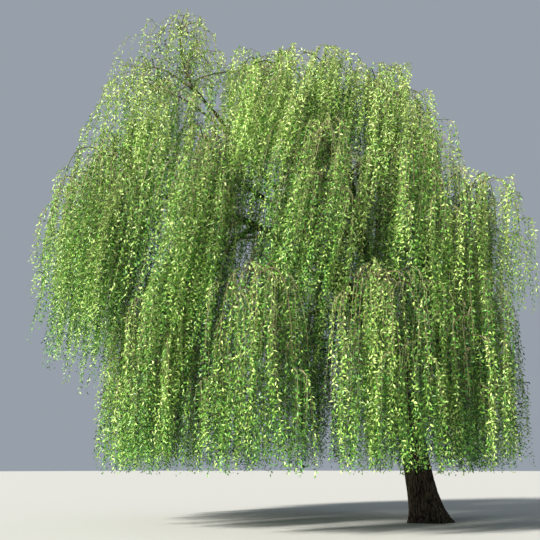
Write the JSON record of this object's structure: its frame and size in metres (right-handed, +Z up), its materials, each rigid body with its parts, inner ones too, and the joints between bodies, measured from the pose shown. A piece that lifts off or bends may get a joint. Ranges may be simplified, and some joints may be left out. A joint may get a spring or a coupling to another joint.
{
  "type": "weeping willow tree",
  "caption": "Mature weeping willow rooted in the ground: a leaning trunk, arching boughs and curtains of hanging leafy twigs to head height, with an airy spire to one side.",
  "frame": {"origin": "centre of the flat cut under the trunk, at ground level", "axes": "+Z up; the tree is seen from -Y, and leans and spreads towards -X"},
  "size_m": [13.9706, 11.6364, 16.5112],
  "materials": {
    "trunk_bark": "deeply furrowed grey-brown bark",
    "limb_bark": "furrowed brown bark, finer than the trunk's",
    "willow_foliage": "narrow yellow-green leaves on thin tan twigs"
  },
  "bodies": {
    "root": {"trunk": "trunk_bark", "west_bough": "limb_bark", "leader_bough": "limb_bark", "east_bough": "limb_bark", "front_bough": "limb_bark", "back_bough": "limb_bark", "far_west_bough": "limb_bark", "spire_bough": "limb_bark", "shoulder_limb": "limb_bark", "upper_front_limb": "limb_bark", "upper_back_limb": "limb_bark", "middle_front_limb": "limb_bark", "middle_back_limb": "limb_bark", "west_front_limb": "limb_bark", "west_back_limb": "limb_bark", "skirt_front_limb": "limb_bark", "skirt_back_limb": "limb_bark", "skirt_west_front_limb": "limb_bark", "skirt_west_back_limb": "limb_bark", "skirt_east_front_limb": "limb_bark", "skirt_east_back_limb": "limb_bark", "skirt_foliage_01": "willow_foliage", "skirt_foliage_02": "willow_foliage", "skirt_foliage_03": "willow_foliage", "skirt_foliage_04": "willow_foliage", "skirt_foliage_05": "willow_foliage", "skirt_foliage_06": "willow_foliage", "skirt_foliage_07": "willow_foliage", "skirt_foliage_08": "willow_foliage", "skirt_foliage_09": "willow_foliage", "skirt_foliage_10": "willow_foliage", "skirt_foliage_11": "willow_foliage", "middle_foliage_01": "willow_foliage", "middle_foliage_02": "willow_foliage", "middle_foliage_03": "willow_foliage", "middle_foliage_04": "willow_foliage", "middle_foliage_05": "willow_foliage", "middle_foliage_06": "willow_foliage", "middle_foliage_07": "willow_foliage", "middle_foliage_08": "willow_foliage", "middle_foliage_09": "willow_foliage", "middle_foliage_10": "willow_foliage", "middle_foliage_11": "willow_foliage", "upper_foliage_01": "willow_foliage", "upper_foliage_02": "willow_foliage", "upper_foliage_03": "willow_foliage", "upper_foliage_04": "willow_foliage", "upper_foliage_05": "willow_foliage", "upper_foliage_06": "willow_foliage", "upper_foliage_07": "willow_foliage", "top_foliage_01": "willow_foliage", "top_foliage_02": "willow_foliage", "top_foliage_03": "willow_foliage", "top_foliage_04": "willow_foliage", "spire_foliage_01": "willow_foliage", "spire_foliage_02": "willow_foliage", "spire_foliage_03": "willow_foliage"}
  },
  "joints": []
}
